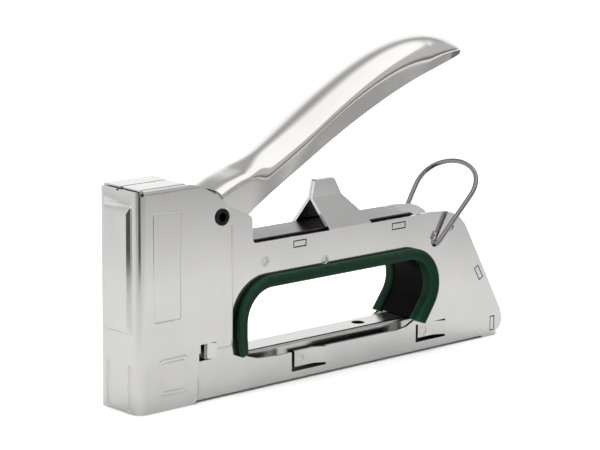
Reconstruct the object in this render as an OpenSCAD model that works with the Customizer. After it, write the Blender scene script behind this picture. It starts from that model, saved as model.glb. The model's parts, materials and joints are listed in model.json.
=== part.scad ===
// Hand-powered staple gun, drawn with its lever open, ready to be squeezed.
// +X runs from the nose to the heel, -Y is the user's left-hand side, +Z is up.
// Places in the body are drawn from the nose's front face and the surface it
// stands on, then set back so that the origin is the middle of the nose's
// working face, where it is pressed on the work.

/* [Head] */
// Overall width over the nose cover
head_w = 23.5; // [22.8:0.1:24.5]
// Height of the head
head_h = 82.2; // [81.8:0.1:84]
// Length of the nose cover at its widest, from front face to rear edge
head_len = 43.9; // [43.5:0.1:45]
// Sheet thickness of the nose cover
cover_t = 1.0; // [0.8:0.1:1.0]
// How far the pressed panels stand out of the front face
panel_rise = 1.2; // [0.6:0.1:1.4]
// Distance from the front face back to the origin
nose_setback = 14; // [12:0.5:20]

/* [Body] */
// Sheet thickness of the side plates
plate_t = 1.2; // [1.0:0.1:1.3]
// Height of the straight top edge of the side plates
beam_z = 55.9; // [55.6:0.1:56.2]
// Height of the bottom edge of the side plates between nose and heel
sill_z = 0.9; // [0.5:0.1:1.2]
// Height of the lower rail, under the hand opening
rail_z = 10.8; // [10:0.1:11.2]

/* [Lever] */
// Radius of the main pivot pin
pivot_r = 3.0; // [2.5:0.1:3.2]
// Sheet thickness of the squeeze lever
lever_t = 1.2; // [1.0:0.1:1.3]
// Half width of the lever over its side walls
lever_half_w = 9.2; // [9.0:0.1:9.3]
// Half width of the palm end of the lever
palm_half_w = 11.0; // [9.5:0.1:11.5]

/* [Magazine] */
// Overall width of the magazine channel
mag_w = 12.0; // [11.8:0.1:12.2]
// Height of the top of the magazine channel
mag_z = 13.9; // [13.5:0.1:14.2]
// Sheet thickness of the magazine channel
mag_t = 0.6; // [0.5:0.1:0.7]

/* [Lock loop] */
// Diameter of the loop's wire
wire_d = 2.0; // [1.8:0.1:2.0]
// Lean of the loop towards the heel, from upright
loop_lean = 39; // [38:0.5:42]

/* [Hidden] */
$fn = 48;

fit = 0.05;
slip = 0.1;
half_w = head_w / 2;
cover_in = half_w - cover_t;
plate_out = cover_in;
plate_in = plate_out - plate_t;
inside = plate_in - fit;
mag_half = mag_w / 2;
past = 30;

pivot = [38.7, 68.1];
arm_pin = [31.5, 65.0];
arm_pin_r = 1.5;
arm_tip = [3.0, 61.6];
arm_tip_r = 2.0;
stop_pin = [26.5, 77.4];
stop_pin_r = 1.2;
loop_hole = [149.3, 42.7];
wire_r = wire_d / 2;
spacers = [[60.5, 48.3], [90.5, 44.5]];
spacer_r = 2.0;
detents = [[148.4, 46.5], [158.3, 48.8]];

driver_x = 2.0;
driver_t = 1.4;
block_x = driver_x + driver_t + slip;
block_end = 26;

spring_z = 53.9;
leaf_t = 1.4;
spring_rests = [[77.7, 5.8], [129.4, 6.6]];
rest_h = 2.0;

rail_half = 4.7;
rail_t = 0.6;
rod_z = 7.2;
rod_r = 1.2;
cap_x = 185.2;
cap_end = 188.6;

// ---- shape helpers ----

// Points on an arc in degrees, from a0 to a1
function arc(c, r, a0, a1, n = 10) =
    [for (i = [0:n]) let (a = a0 + (a1 - a0) * i / n) [c[0] + r * cos(a), c[1] + r * sin(a)]];

// Point at t on a cubic curve with four control points
function cubic(p, t) =
    p[0] * pow(1 - t, 3) + p[1] * 3 * t * pow(1 - t, 2) + p[2] * 3 * t * t * (1 - t) + p[3] * pow(t, 3);

function curve(p, n = 10) = [for (i = [0:n]) cubic(p, i / n)];

function reverse(v) = [for (i = [len(v) - 1:-1:0]) v[i]];

// Extrudes an outline drawn in X and Z from y0 to y1
module side_on(y0, y1) {
    translate([0, y1, 0]) rotate([90, 0, 0]) linear_extrude(y1 - y0) children();
}

// Extrudes an outline drawn in Y and Z from x0 to x1
module end_on(x0, x1) {
    translate([x0, 0, 0]) rotate([90, 0, 90]) linear_extrude(x1 - x0) children();
}

module both_sides() {
    children();
    mirror([0, 1, 0]) children();
}

module box(low, high) {
    translate(low) cube(high - low);
}

// A round bar across the body at [x, z]
module cross_bar(at, r, y0, y1) {
    translate([at[0], y1, at[1]]) rotate([90, 0, 0]) cylinder(r = r, h = y1 - y0);
}

// A round bar along the body
module long_bar(x0, x1, z, r) {
    translate([x0, 0, z]) rotate([0, 90, 0]) cylinder(r = r, h = x1 - x0);
}

// A rectangle with its corners rounded
module round_rect(low, high, r) {
    translate([low[0] + r, low[1]]) square([high[0] - low[0] - 2 * r, high[1] - low[1]]);
    translate([low[0], low[1] + r]) square([high[0] - low[0], high[1] - low[1] - 2 * r]);
    for (x = [low[0] + r, high[0] - r], y = [low[1] + r, high[1] - r]) translate([x, y]) circle(r = r);
}

// Moves the drawing so that the origin is the middle of the nose's working face
module seated() {
    translate([-nose_setback, 0, 0]) children();
}

// ---- nose cover: one folded sheet over the head ----

cover_step_z = 18.7;
cover_step_x = 27.9;
flap_end = 22.5;
cover_bend = 3.4;
flap_bend = 2.2;
panel_half = 7.6;
panel_low = 29.4;
panel_high = 76;
groove_y = 6.3;
groove_high = 18;
groove_r = 0.5;
hatch_low = [28.6, 15.4];
hatch_high = [35.9, 21.9];
flap_start = 1.9;
wall_drop = 0.8;
relief = 2.4;
crown = [[flap_end, head_h], [32, head_h - 1.7], [42, 73.5], [head_len, 69.0]];

// Side view of the cover; inset shrinks only its top and front
module cover_profile(inset) {
    corner = 2.2;
    polygon(concat(
        [[inset, -1], [inset, head_h - inset]],
        [for (p = curve(crown, 14)) p - [0, inset]],
        arc([head_len - corner, cover_step_z + corner], corner, 0, -90, 6),
        [[cover_step_x, cover_step_z], [cover_step_x, 2.5],
         [cover_step_x - 2.5, 0], [cover_step_x - 2.5, -1]]));
}

// Solid of the cover's outside, or of its inside when inset is the sheet thickness
module cover_block(inset) {
    w = half_w - inset;
    intersection() {
        side_on(-w, w) cover_profile(inset);
        translate([0, 0, -2]) linear_extrude(head_h + 4)
            round_rect([inset, -w], [80, w], cover_bend - inset);
        end_on(-2, 80) round_rect([-w, -20], [w, head_h - inset], flap_bend - inset);
    }
}

// A panel pressed out of the front face, steep at the sides and gently sloped at its ends
module pressed_panel(half, low, high, shift) {
    slope = panel_rise;
    ends = 2.6;
    intersection() {
        translate([shift, 0, low - 5]) linear_extrude(high - low + 10)
            polygon([[0.5, -half], [0, -half], [-panel_rise, slope - half],
                     [-panel_rise, half - slope], [0, half], [0.5, half]]);
        side_on(-half, half) translate([shift, 0])
            polygon([[0.5, low], [0, low], [-panel_rise, low + ends],
                     [-panel_rise, high - ends], [0, high], [0.5, high]]);
    }
}

// The tongue at the rear edge of the hatch, curled in through the side plate
module hatch_tongue() {
    curl = 3.4;
    c = [hatch_high[0], curl - half_w];
    translate([0, 0, hatch_low[1] + 0.3]) linear_extrude(hatch_high[1] - hatch_low[1] - 0.6)
        polygon(concat(arc(c, curl, 272, 205, 8), reverse(arc(c, curl - cover_t, 272, 205, 8))));
}

module nose_cover() {
    seam = 0.35;
    color([0.80, 0.80, 0.78]) seated() intersection() {
        difference() {
            union() {
                cover_block(0);
                pressed_panel(panel_half, panel_low, panel_high, 0);
            }
            cover_block(cover_t);
            pressed_panel(panel_half - 0.4, panel_low + 0.4, panel_high - 0.4, cover_t);
            for (s = [-1, 1]) translate([-0.1, s * groove_y, -2]) cylinder(r = groove_r, h = groove_high + 2);
            box([cover_t, -cover_in, -2], [60, cover_in, 20]);
            // the two top flaps meet at a seam, behind and above the top edge of the front wall
            box([cover_t, -seam, head_h - 3], [60, seam, head_h + 1]);
            box([-1, -0.7, head_h - wall_drop - 0.6], [cover_t + 1, 0.7, head_h + 1]);
            box([cover_t, -cover_in, head_h - 3], [flap_start, cover_in, head_h + 1]);
            box([-3, -past, head_h - wall_drop], [flap_start, past, head_h + 1]);
            both_sides() box([cover_t, -past, head_h - relief], [flap_start + 0.9, 0.3 - cover_in, head_h + 1]);
            box([flap_end, -cover_in, 60], [60, cover_in, head_h + 1]);
            // hatch where a tongue of the cover hooks into each side plate
            side_on(-past, past) polygon([hatch_low, [hatch_high[0], hatch_low[1]], hatch_high,
                                          [hatch_low[0], hatch_high[1]]]);
            cross_bar(pivot, pivot_r, -past, past);
        }
        box([-5, -past, 0], [90, past, 100]);
    }
    color([0.80, 0.80, 0.78]) seated() both_sides() hatch_tongue();
}

module wear_plate() {
    gap = 0.05;
    color([0.55, 0.56, 0.58]) seated()
        box([cover_t + gap, -8.0, 0.4], [driver_x - gap, 8.0, 38]);
}

module nose_block() {
    color([0.42, 0.43, 0.45]) seated() difference() {
        box([block_x, -inside, 0], [block_end, inside, 15.2]);
        box([block_x - 1, -mag_half - fit, 1.4], [block_end + 1, mag_half + fit, mag_z + fit]);
    }
}

module driver_guide() {
    color([0.55, 0.56, 0.58]) seated() {
        box([block_x, -inside, 15.3], [block_x + plate_t, inside, 48.2]);
        both_sides() box([block_x + plate_t, inside - plate_t, 30], [block_x + 8, inside, 48.2]);
    }
}

// ---- grip trim outline, shared by the trim and the hand opening ----

lip_w = 4.7;
lip_t = 3.1;
web_w = 4.1;
web_half = 8.5;
grip_front = [62.8, 26.4];
grip_rear = [134.3, 27.6];
grip_front_r = 16.8;
grip_rear_r = 15.6;

// Horseshoe outline of the trim, d inside its outer edge
function grip_line(d) = concat(
    [[grip_front[0] - grip_front_r + 1.3 + d * 0.8, 14.2 + d * 0.2]],
    [[grip_front[0] - grip_front_r + d, 22]],
    arc(grip_front, grip_front_r - d, 180, 90, 14),
    arc(grip_rear, grip_rear_r - d, 90, -35, 18),
    [[142.5 - d, 11.9 + d * 0.45]]);

function grip_ring(d0, d1) = concat(grip_line(d0), reverse(grip_line(d1)));

// ---- side plates ----

tent = [[92.9, 54], [92.3, 67], [93.5, 72.9], [94.5, 73.8], [102.9, 73.8], [103.9, 73.1], [107.5, 66.8],
        [113.1, 59.6], [114.5, 56.4], [114.6, 54]];
tent_knee = 67.0;
heel = [[156, 55.3], [160, 54.0], [163.5, 51.9], [166.5, 48.9], [169.5, 43.8], [188.1, 11.0]];
front_tab = [74.0, 91.6, 3.6, 11.6];
rear_tab = [139.8, 156.3, 4.2, 11.4];
tab_gap = [3.2, 0.95];
tab_ramp = 4.4;
tab_depth = 2.0;
strap_lug = [175.0, 27.6];
strap_tilt = 30;
lug_size = [1.8, 5.4];
foot_lug = [183.6, 5.2];
lug_gap = 0.4;

module plate_outline() {
    front = block_x + 0.2;
    polygon(concat(
        [[front, sill_z], [front, head_h - 1.4]],
        curve([[21.5, head_h - 1.4], [31, head_h - 3.0], [40, 73.6], [42.2, 71.4]], 10),
        [[44.5, 70.8], [53.3, 66.6], [54.2, 65.3], [54.4, 57.7]],
        arc([56.2, beam_z + 1.8], 1.8, 180, 270, 4),
        [[138.7, beam_z - 0.1], [147, beam_z + 0.2]],
        heel,
        arc([184.6, 6.4], 4.7, 10, -70, 8),
        [[185.2, 0], [178.0, 0], [177.0, sill_z]]));
}

module hand_opening() {
    d = lip_w / 2;
    polygon(concat(grip_line(d),
        [[138.8, 13.4], [134.5, 11.5], [129, rail_z], [66, rail_z + 0.4],
         [57, rail_z + 1.0], [52.5, 13.2]]));
}

module lug_slot(at, tilt, grow) {
    translate(at) rotate(tilt)
        square([lug_size[0] + 2 * grow, lug_size[1] + 2 * grow], center = true);
}

// The sheet of one plate, with everything punched in it, for the -Y side
module punched_sheet() {
    side_on(-plate_out, -plate_in) difference() {
        plate_outline();
        hand_opening();
        translate([front_tab[0], front_tab[2]]) square([front_tab[1] - front_tab[0], 12]);
        translate([rear_tab[0], rear_tab[2]])
            square([rear_tab[1] - rear_tab[0], rear_tab[3] - rear_tab[2]]);
        for (s = spring_rests) translate([s[0], spring_z - rest_h / 2])
            square([s[1] + 2 * lug_gap, rest_h + 2 * lug_gap], center = true);
        polygon([hatch_low, [hatch_high[0] + 0.4, hatch_low[1]], [hatch_high[0] + 0.4, hatch_high[1]],
                 [hatch_low[0], hatch_high[1]]]);
        lug_slot(strap_lug, strap_tilt, lug_gap);
        lug_slot(foot_lug, 0, lug_gap);
    }
}

// A tongue cut from the lower rail and set in towards the magazine, with a shallow dimple
module magazine_tab(tab) {
    flat = tab_depth - plate_out;
    top = min(tab[3] - 0.3, rail_z - 0.1);
    difference() {
        translate([0, 0, tab[2] + tab_gap[1]]) linear_extrude(top - tab[2] - tab_gap[1])
            polygon([[tab[0] + tab_gap[0], flat], [tab[1] - tab_ramp - 0.3, flat], [tab[1] - 0.3, -plate_out],
                     [tab[1] + 0.5, -plate_out], [tab[1] + 0.5, -plate_in], [tab[1], -plate_in],
                     [tab[1] - tab_ramp, flat + plate_t], [tab[0] + tab_gap[0], flat + plate_t]]);
        cross_bar([tab[0] + 6.4, 7.6], 1.5, -past, flat + 0.3);
    }
}

// The half of the stop that folds in over the spring and meets its twin on the centre line
module tent_half() {
    gap = 0.1;
    flat = 1.35;
    intersection() {
        end_on(90, 116) polygon([[-plate_out, 54], [-plate_out, beam_z + 0.3], [-flat, tent_knee],
            [-flat, 80], [-gap, 80], [-gap, tent_knee - 0.6], [-plate_in, beam_z - 0.5], [-plate_in, 54]]);
        side_on(-past, past) polygon(tent);
    }
}

// The lower edge, turned in to meet the magazine
module turned_edge() {
    box([28, -plate_out, sill_z], [176, -mag_half - 0.3, sill_z + plate_t]);
}

module side_plate() {
    color([0.78, 0.78, 0.76]) seated() difference() {
        union() {
            punched_sheet();
            turned_edge();
            magazine_tab(front_tab);
            magazine_tab(rear_tab);
            tent_half();
        }
        cross_bar(pivot, pivot_r, -past, 0);
        cross_bar(stop_pin, stop_pin_r, -past, 0);
        cross_bar(loop_hole, wire_r + fit, -past, 0);
        for (s = spacers) cross_bar(s, spacer_r, -past, 0);
        for (s = detents) cross_bar(s, 1.8, -past, -plate_out + 0.5);
    }
}

module left_side_plate() {
    side_plate();
}

module right_side_plate() {
    mirror([0, 1, 0]) side_plate();
}

// A dark web between the plates, with a rim standing proud of each plate
module grip_trim() {
    d = lip_w / 2 + slip;
    rim_out = plate_out + lip_t;
    color([0.08, 0.22, 0.15]) seated() {
        difference() {
            side_on(-web_half, web_half) polygon(grip_ring(d, web_w));
            // the trim's feet stand astride the magazine
            box([40, -mag_half - slip, 0], [150, mag_half + slip, mag_z + slip]);
        }
        both_sides() {
            side_on(-plate_out, -web_half) polygon(grip_ring(d, lip_w));
            side_on(-rim_out, -plate_out) polygon(grip_ring(0, lip_w));
        }
    }
}

// ---- pins, rests and brackets between the plates ----

module pivot_pin() {
    head_r = 3.15;
    proud = 0.5;
    reach = half_w + proud;
    color([0.06, 0.06, 0.07]) seated() difference() {
        union() {
            cross_bar(pivot, pivot_r, -reach, reach);
            both_sides() cross_bar(pivot, head_r, -reach, -half_w);
        }
        both_sides() cross_bar(pivot, 1.7, -reach - 1, -reach + 2.5);
    }
}

module pivot_sleeve() {
    color([0.70, 0.58, 0.32]) seated() difference() {
        cross_bar(pivot, pivot_r + 1, -2.9, 2.9);
        cross_bar(pivot, pivot_r, -past, past);
    }
}

module spring_stop_pin() {
    color([0.35, 0.35, 0.37]) seated() cross_bar(stop_pin, stop_pin_r, -plate_out, plate_out);
}

module spacer_pins() {
    dish = 0.4;
    color([0.62, 0.62, 0.60]) seated() for (s = spacers) difference() {
        cross_bar(s, spacer_r, -plate_out, plate_out);
        both_sides() cross_bar(s, spacer_r - 0.7, -plate_out - 1, -plate_out + dish);
    }
}

module bumper_bracket() {
    top = 50;
    bend = 2.4;
    leg_x = 33.6;
    color([0.45, 0.46, 0.48]) seated() side_on(-inside, inside) difference() {
        union() {
            translate([block_x + 1.6, top - plate_t]) square([leg_x - bend - block_x - 1.6, plate_t]);
            translate([leg_x - plate_t, 15.4]) square([plate_t, top - bend - 15.4]);
            translate([leg_x - bend, top - bend]) circle(r = bend);
        }
        translate([leg_x - bend, top - bend]) circle(r = bend - plate_t);
        translate([0, 14]) square([leg_x - plate_t, top - plate_t - 14]);
    }
}

module bumper() {
    color([0.05, 0.05, 0.05]) seated() box([8, -7, 50], [19, 7, spring_z + leaf_t - fit]);
}

module spring_rest(at) {
    color([0.50, 0.51, 0.52]) seated() {
        box([at[0] - at[1] / 2, -plate_out, spring_z - rest_h], [at[0] + at[1] / 2, plate_out, spring_z]);
        box([at[0] - at[1] / 2, -inside, spring_z - rest_h - 3],
            [at[0] - at[1] / 2 + plate_t, inside, spring_z - rest_h]);
    }
}

module front_spring_rest() {
    spring_rest(spring_rests[0]);
}

module rear_spring_rest() {
    spring_rest(spring_rests[1]);
}

module back_strap() {
    line = [[166.4, 47.8], [168.6, 43.2], [185.9, 17.0]];
    in = [-1.3, -0.75];
    color([0.60, 0.60, 0.60]) seated() {
        side_on(-inside, inside)
            polygon(concat([for (p = line) p + in * 0.4], reverse([for (p = line) p + in * 1.5])));
        side_on(-plate_out, plate_out) lug_slot(strap_lug, strap_tilt, 0);
    }
}

module rear_bracket() {
    half_t = lug_size[0] / 2;
    color([0.50, 0.51, 0.52]) seated() difference() {
        union() {
            box([foot_lug[0] - half_t, -inside, 1.0], [foot_lug[0] + half_t, inside, 15.4]);
            side_on(-plate_out, plate_out) lug_slot(foot_lug, 0, 0);
        }
        box([foot_lug[0] - 5, -mag_half - fit, 0], [foot_lug[0] + 5, mag_half + fit, mag_z + fit]);
    }
}

// ---- springs ----

module leaf(x0, x1, low, half, tip_x, tip_half) {
    translate([0, 0, low]) linear_extrude(leaf_t)
        polygon([[x0, -tip_half], [tip_x, -tip_half], [tip_x + 10, -half], [x1, -half],
                 [x1, half], [tip_x + 10, half], [tip_x, tip_half], [x0, tip_half]]);
}

module main_spring_upper() {
    half = 8.0;
    end = 137.6;
    curl_r = 3.2;
    top = spring_z + 2 * leaf_t;
    color([0.30, 0.28, 0.30]) seated() {
        leaf(driver_x - 0.4, end, spring_z + leaf_t, half, 10, 3.0);
        side_on(-half, half) polygon(concat(arc([end, top - curl_r], curl_r, 90, -20, 8),
            reverse(arc([end, top - curl_r], curl_r - leaf_t, 90, -20, 8))));
    }
}

module main_spring_lower() {
    color([0.36, 0.34, 0.36]) seated() leaf(30, 135, spring_z, 8.0, 34, 5.5);
}

module return_spring() {
    coil_r = 5.0;
    strand = 0.6;
    turns = 3;
    pitch = 1.35;
    color([0.40, 0.40, 0.42]) seated() {
        for (i = [0:turns - 1]) translate([pivot[0], (i - 1) * pitch, pivot[1]]) rotate([90, 0, 0])
            rotate_extrude() translate([coil_r, 0]) circle(r = strand, $fn = 16);
        spring_leg([pivot[0] - 1.5, pivot[1] + coil_r - 0.3], [25.2, 75.4], pitch, strand);
        spring_leg([pivot[0] + 1.5, pivot[1] + coil_r - 0.3], [50.2, 79.0], -pitch, strand);
    }
}

module spring_leg(from, to, y, r) {
    run = to - from;
    translate([from[0], y, from[1]]) rotate([0, atan2(run[0], run[1]), 0])
        cylinder(r = r, h = norm(run), $fn = 16);
}

// ---- squeeze lever ----

rim_curve = [[52, 65.5], [76, 83], [133, 115.3], [170.2, 117.2]];
crown_curve = [[54, 82.0], [96, 101], [140, 142.5], [170.6, 117.6]];
palm_from = 0.78;
section_power = 0.62;

// Half width of the lever along its length, t from 0 at the neck to 1 at the tip
function lever_half(t) =
    let (grow = min(1, max(0, (t - 0.12) / 0.5)), blend = grow * grow * (3 - 2 * grow),
         neck = lever_half_w - 0.15, full = neck + (palm_half_w - neck) * blend)
    t < palm_from ? full : full * sqrt(max(0, 1 - pow((t - palm_from) / (1 - palm_from), 2)));

function signed_pow(v, e) = sign(v) * pow(abs(v), e);

// Points of a squarish arch standing on the rim line, smaller by inset,
// from the -Y foot over to the +Y foot
function arch(t, inset, n = 16) =
    let (rim = cubic(rim_curve, t), tall = cubic(crown_curve, t) - rim,
         height = norm(tall), up = tall / height,
         w = max(0.3, lever_half(t) - inset), h = max(0.3, height - inset))
    [for (i = [0:n]) let (a = 180 - 180 * i / n, p = rim + up * h * pow(max(0, sin(a)), section_power))
        [p[0], w * signed_pow(cos(a), section_power), p[1]]];

// The lever's pressed sheet: an outer arch and an inner arch joined along both rims and at both ends
module lever_shell() {
    steps = 28;
    n = 16;
    rings = [for (i = [0:steps]) let (t = sin(90 * i / steps))
        concat(arch(t * 0.998, 0, n), reverse(arch(t * 0.98, lever_t, n)))];
    m = 2 * (n + 1);
    side = [for (i = [0:steps - 1], j = [0:m - 1]) let (k = (j + 1) % m, p = i * m, q = p + m)
        each [[p + j, q + k, q + j], [p + j, p + k, q + k]]];
    first = [for (j = [0:n - 1]) let (k = m - 1 - j) each [[j, k, j + 1], [j + 1, k, k - 1]]];
    last = [for (f = first) [for (v = reverse(f)) v + steps * m]];
    polyhedron(points = [for (r = rings) each r], faces = concat(side, first, last));
}

module lever_cheek() {
    polygon(concat(
        arc(pivot, 8.6, 215, 300, 6),
        [[47.5, 62.8], [52.2, 66.2], [58.5, 72.2], [58.5, 79], [54.5, 82.2], [49.3, 81.2]],
        [[39.2, 76.6]],
        arc(arm_pin, 4.2, 115, 230, 5)));
}

module lever_neck_top() {
    polygon([[39.0, 76.5], [49.3, 81.2], [54.5, 82.2], [58.2, 82.6], [58.2, 81.2], [54.6, 80.9],
             [49.8, 79.9], [39.6, 75.2]]);
}

module squeeze_lever() {
    color([0.86, 0.86, 0.84]) seated() difference() {
        union() {
            lever_shell();
            both_sides() side_on(-lever_half_w, -lever_half_w + lever_t) lever_cheek();
            side_on(-lever_half_w, lever_half_w) lever_neck_top();
        }
        cross_bar(pivot, pivot_r + fit, -past, past);
        cross_bar(arm_pin, arm_pin_r, -past, past);
    }
}

// Arm that lifts the driver when the lever is squeezed
module lift_arm() {
    half = lever_half_w - lever_t - fit;
    tongue_half = 4.0;
    color([0.38, 0.38, 0.40]) seated() difference() {
        union() {
            cross_bar(pivot, 6.4, -half, half);
            side_on(-half, half)
                polygon([[38.7, 61.7], [29.5, 60.6], [28.2, 62.4], [29.0, 68.6], [38.7, 74.5]]);
            side_on(-tongue_half, tongue_half)
                polygon([[30, 61.2], [3.35, 59.65], [2.65, 63.55], [30, 68]]);
            cross_bar(arm_tip, arm_tip_r, -tongue_half, tongue_half);
        }
        side_on(-3.1, 3.1) polygon([[30.8, 58], [50, 58], [50, 80], [30.8, 80]]);
        cross_bar(pivot, pivot_r + fit, -past, past);
        cross_bar(arm_pin, arm_pin_r, -past, past);
    }
}

module lift_arm_pin() {
    color([0.35, 0.35, 0.37]) seated() both_sides()
        cross_bar(arm_pin, arm_pin_r, -lever_half_w, -3.2);
}

// ---- driver ----

module driver() {
    foot_half = 5.2;
    head_half = 8.4;
    top = 66.4;
    color([0.50, 0.51, 0.53]) seated() translate([driver_x, 0, 0])
        rotate([90, 0, 90]) linear_extrude(driver_t)
        difference() {
            polygon([[-foot_half, 0.4], [foot_half, 0.4], [foot_half, 32], [head_half, 37], [head_half, top],
                     [-head_half, top], [-head_half, 37], [-foot_half, 32]]);
            translate([-4.3, arm_tip[1] - 2.45]) square([8.6, 4.9]);
            translate([-3.3, spring_z + leaf_t - slip]) square([6.6, leaf_t + 2 * slip]);
        }
}

// ---- magazine ----

pusher_x = 7.2;
pusher_len = 15;
pusher_top = 13.1;

module magazine_channel() {
    color([0.80, 0.80, 0.79]) seated() difference() {
        end_on(block_x + 0.3, foot_lug[0] + 0.9) difference() {
            round_rect([-mag_half, 0], [mag_half, mag_z], 1.2);
            translate([-mag_half - 1, -1]) square([mag_w + 2, 2.5]);
            translate([-mag_half + mag_t, 0]) square([mag_w - 2 * mag_t, mag_z - mag_t]);
        }
        translate([118.4, 0, mag_z - 3]) cylinder(r = 2.6, h = 5);
    }
}

module staple_rail() {
    front = block_x + 0.6;
    color([0.66, 0.66, 0.66]) seated() {
        difference() {
            box([front, -rail_half, 1.7], [cap_x, rail_half, 12.2]);
            box([front - 1, -rail_half + rail_t, 1.7 + rail_t], [cap_x + 1, rail_half - rail_t, 13]);
        }
        difference() {
            box([front, -rail_half + rail_t, 1.7 + rail_t], [front + 1.4, rail_half - rail_t, 11.6]);
            long_bar(0, 20, rod_z, rod_r);
        }
    }
}

module guide_rod() {
    color([0.62, 0.62, 0.63]) seated() long_bar(block_x + 0.7, cap_x + 1, rod_z, rod_r);
}

module pusher() {
    wall = 0.5;
    out = rail_half + 0.1 + wall;
    core = rail_half - rail_t - 0.1;
    color([0.30, 0.31, 0.33]) seated() difference() {
        union() {
            box([pusher_x, -out, pusher_top - 0.7], [pusher_x + pusher_len, out, pusher_top]);
            both_sides() box([pusher_x, -out, 3], [pusher_x + pusher_len, -out + wall, pusher_top]);
            box([pusher_x, -core, 2.5], [pusher_x + 9, core, pusher_top]);
        }
        long_bar(0, 40, rod_z, rod_r + fit);
    }
}

module pusher_spring() {
    color([0.55, 0.55, 0.56]) seated() difference() {
        long_bar(pusher_x + 9.1, cap_x - 0.1, rod_z, 2.3);
        long_bar(0, cap_x + 1, rod_z, 1.6);
    }
}

button_low = 9.6;
button_high = 12.6;
button_half = 2.6;

module end_cap() {
    color([0.10, 0.10, 0.11]) seated() difference() {
        end_on(cap_x, cap_end) round_rect([-7.4, 1.4], [7.4, 14.6], 2);
        long_bar(0, cap_x + 1, rod_z, rod_r);
        box([cap_x + 0.6, -button_half - slip, button_low - slip],
            [cap_end + 1, button_half + slip, button_high + slip]);
    }
}

module latch_button() {
    color([0.75, 0.75, 0.74]) seated()
        end_on(cap_x + 2.5, cap_end + 1.5)
            round_rect([-button_half, button_low], [button_half, button_high], 0.8);
}

module latch_spring() {
    mid = (button_low + button_high) / 2;
    color([0.55, 0.55, 0.56]) seated() difference() {
        long_bar(cap_x + 0.65, cap_x + 2.45, mid, 1.2);
        long_bar(cap_x, cap_x + 3, mid, 0.7);
    }
}

// ---- lock loop ----

loop_spread = 8.2;
bow_side = [25.6, 4.2];
bow_side_r = 11.3;
bow_top_u = 18.13;
knee_r = 2.0;
collar_step = 0.04;
collar_len = 0.3;

// An arc of wire in the plane of the loop, drawn flat in X and Y
module wire_arc(c, r, a0, a1) {
    translate([c[0], c[1], 0]) rotate(a0) rotate_extrude(angle = a1 - a0)
        translate([r, 0]) circle(r = wire_r);
}

module wire_bar(from, to, r = wire_r) {
    run = to - from;
    translate([from[0], from[1], 0]) rotate(atan2(run[1], run[0])) rotate([0, 90, 0])
        cylinder(r = r, h = norm(run));
}

// A slightly thicker short length that ties two runs of wire together at p
module wire_collar(p, heading) {
    half = collar_len / 2 * [cos(heading), sin(heading)];
    wire_bar(p - half, p + half, wire_r + collar_step);
}

// The loop lying flat: X along its legs from the hinge, Y across
module flat_loop() {
    top_c = [bow_top_u, 0];
    reach = bow_side - top_c;
    meet = atan2(reach[1], reach[0]);
    leave = 90 + loop_spread;
    bow_joint = bow_side + bow_side_r * [cos(meet), sin(meet)];
    leg_top = bow_side + bow_side_r * [cos(leave), sin(leave)];
    leg_run = leg_top[0] - knee_r;
    leg_foot = [knee_r, leg_top[1] - leg_run * tan(loop_spread)];
    knee_c = leg_foot + knee_r * [sin(loop_spread), -cos(loop_spread)];
    hook_u = knee_c[0] - knee_r;
    hook_top = [hook_u, knee_c[1]];
    translate([-hook_u, 0, 0]) {
        wire_arc(top_c, norm(reach) + bow_side_r, -meet, meet);
        both_sides() {
            wire_arc(bow_side, bow_side_r, meet, leave);
            wire_bar(leg_foot, leg_top);
            wire_arc(knee_c, knee_r, leave, 180);
            wire_bar([hook_u, plate_in - 0.8], hook_top);
            wire_collar(bow_joint, meet + 90);
            wire_collar(leg_top, loop_spread);
            wire_collar(leg_foot, loop_spread);
            wire_collar(hook_top, 90);
        }
    }
}

module lock_loop() {
    color([0.45, 0.45, 0.46]) seated() translate([loop_hole[0], 0, loop_hole[1]])
        rotate([0, loop_lean - 90, 0]) flat_loop();
}

nose_cover();
wear_plate();
nose_block();
driver_guide();
left_side_plate();
right_side_plate();
grip_trim();
pivot_pin();
pivot_sleeve();
spring_stop_pin();
bumper_bracket();
bumper();
front_spring_rest();
rear_spring_rest();
main_spring_upper();
main_spring_lower();
spacer_pins();
back_strap();
rear_bracket();
magazine_channel();
squeeze_lever();
lift_arm();
lift_arm_pin();
return_spring();
driver();
pusher();
pusher_spring();
staple_rail();
guide_rod();
end_cap();
latch_button();
latch_spring();
lock_loop();
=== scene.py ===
"""Staple gun: the detailed visual model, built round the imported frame."""
import json
import math

import bmesh
import bpy
from mathutils import Matrix, Vector

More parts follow.
